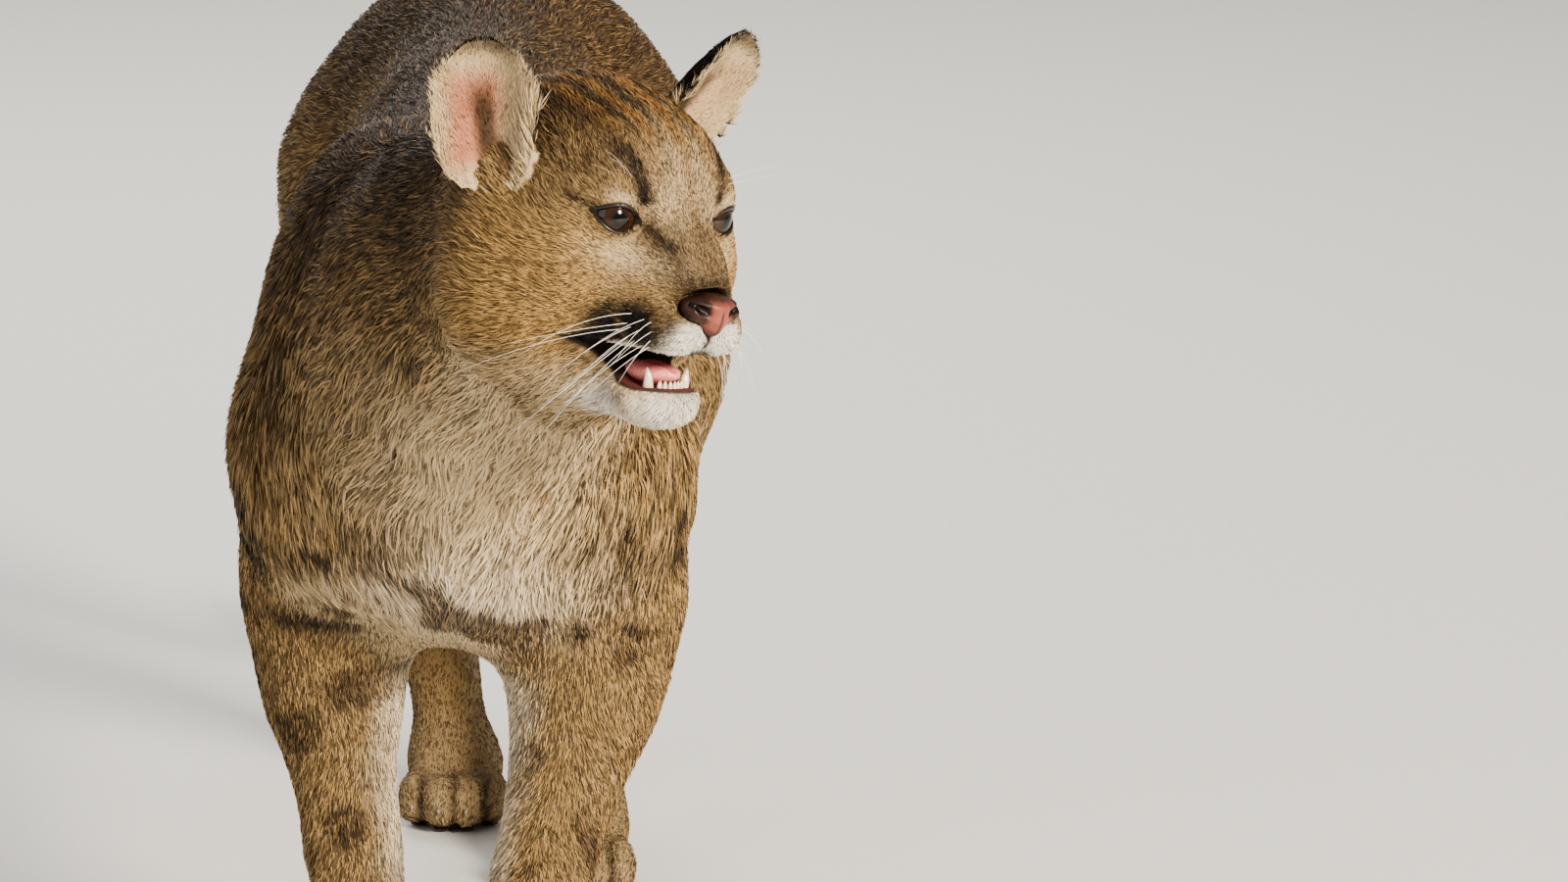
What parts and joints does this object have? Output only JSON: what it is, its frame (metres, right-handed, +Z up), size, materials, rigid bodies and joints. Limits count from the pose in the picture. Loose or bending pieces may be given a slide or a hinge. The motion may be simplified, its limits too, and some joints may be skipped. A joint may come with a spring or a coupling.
{
  "type": "cougar",
  "caption": "Life-size still model of a young adult cougar in mid-step, head turned to its left and mouth a little open; stands on four paws as in a museum.",
  "frame": {"origin": "on the floor, under the middle of the whole animal's box", "axes": "+Z up; the animal faces -Y; its left side is +X"},
  "size_m": [0.3134, 1.3288, 0.6837],
  "materials": {
    "coat": "short ticked fur over flesh",
    "coat_dark": "short darker fur over flesh",
    "coat_pale": "short pale fur over flesh",
    "coat_black": "short black fur over flesh",
    "nose_leather": "moist bare skin",
    "tongue_skin": "wet bare skin",
    "eye": "wet and polished"
  },
  "bodies": {
    "root": {"torso": "coat", "neck": "coat", "head": "coat", "lower_jaw": "coat_pale", "ear_right": "coat_dark", "ear_left": "coat_dark", "nose": "nose_leather", "tongue": "tongue_skin", "eye_right": "eye", "eye_left": "eye", "foreleg_right": "coat", "foreleg_left": "coat", "hindleg_right": "coat", "hindleg_left": "coat", "forepaw_right": "coat_dark", "forepaw_left": "coat_dark", "hindpaw_right": "coat_dark", "hindpaw_left": "coat_dark", "tail_base": "coat", "tail_middle": "coat", "tail_tip": "coat_black"}
  },
  "joints": []
}
